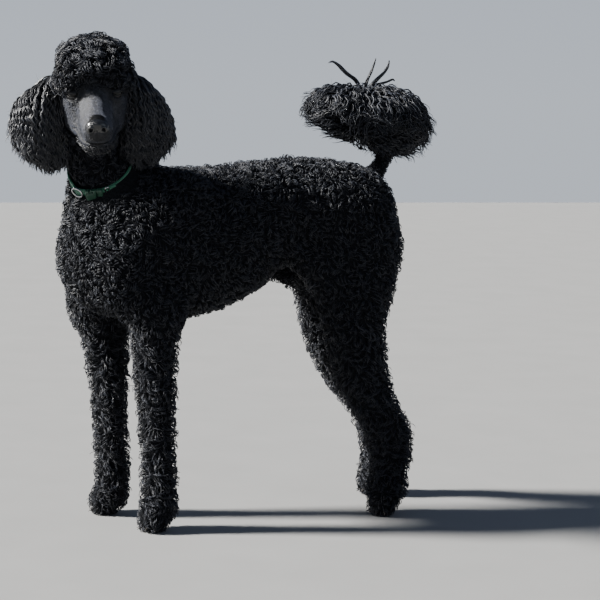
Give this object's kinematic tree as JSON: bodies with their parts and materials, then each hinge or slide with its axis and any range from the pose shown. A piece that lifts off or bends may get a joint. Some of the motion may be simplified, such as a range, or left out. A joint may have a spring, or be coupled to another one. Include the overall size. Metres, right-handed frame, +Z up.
{
  "type": "standard poodle",
  "caption": "Black standard poodle in a short sporting clip, standing with its head turned to its left, tail up, wearing a webbing collar.",
  "frame": {"origin": "middle of the whole model's box in X and Y, on the floor under the feet", "axes": "+Z up, the dog faces -Y, its left side is +X"},
  "size_m": [0.3076, 0.8048, 0.8687],
  "materials": {
    "coat": "tight curls, matt with a faint sheen",
    "face": "shaved hair, slightly glossy",
    "nose": "wet, pebbled",
    "eye": "wet, very dark brown",
    "claw": "satin horn",
    "webbing": "woven, matt",
    "buckle": "moulded, satin",
    "steel": "polished"
  },
  "bodies": {
    "root": {"trunk": "coat", "neck": "coat", "head": "face", "muzzle": "face", "topknot": "coat", "ear_left": "coat", "ear_right": "coat", "nose": "nose", "eye_left": "eye", "eye_right": "eye", "forearm_left": "coat", "forearm_right": "coat", "fore_pastern_left": "coat", "fore_pastern_right": "coat", "fore_paw_left": "coat", "fore_paw_right": "coat", "thigh_left": "coat", "thigh_right": "coat", "lower_leg_left": "coat", "lower_leg_right": "coat", "hind_pastern_left": "coat", "hind_pastern_right": "coat", "hind_paw_left": "coat", "hind_paw_right": "coat", "claw_fore_paw_left_1": "claw", "claw_fore_paw_left_2": "claw", "claw_fore_paw_left_3": "claw", "claw_fore_paw_left_4": "claw", "claw_fore_paw_right_1": "claw", "claw_fore_paw_right_2": "claw", "claw_fore_paw_right_3": "claw", "claw_fore_paw_right_4": "claw", "claw_hind_paw_left_1": "claw", "claw_hind_paw_left_2": "claw", "claw_hind_paw_left_3": "claw", "claw_hind_paw_left_4": "claw", "claw_hind_paw_right_1": "claw", "claw_hind_paw_right_2": "claw", "claw_hind_paw_right_3": "claw", "claw_hind_paw_right_4": "claw", "tail_stem": "coat", "tail_plume": "coat", "collar_strap": "webbing", "collar_buckle": "buckle", "collar_slider": "steel", "collar_ring": "steel"}
  },
  "joints": []
}
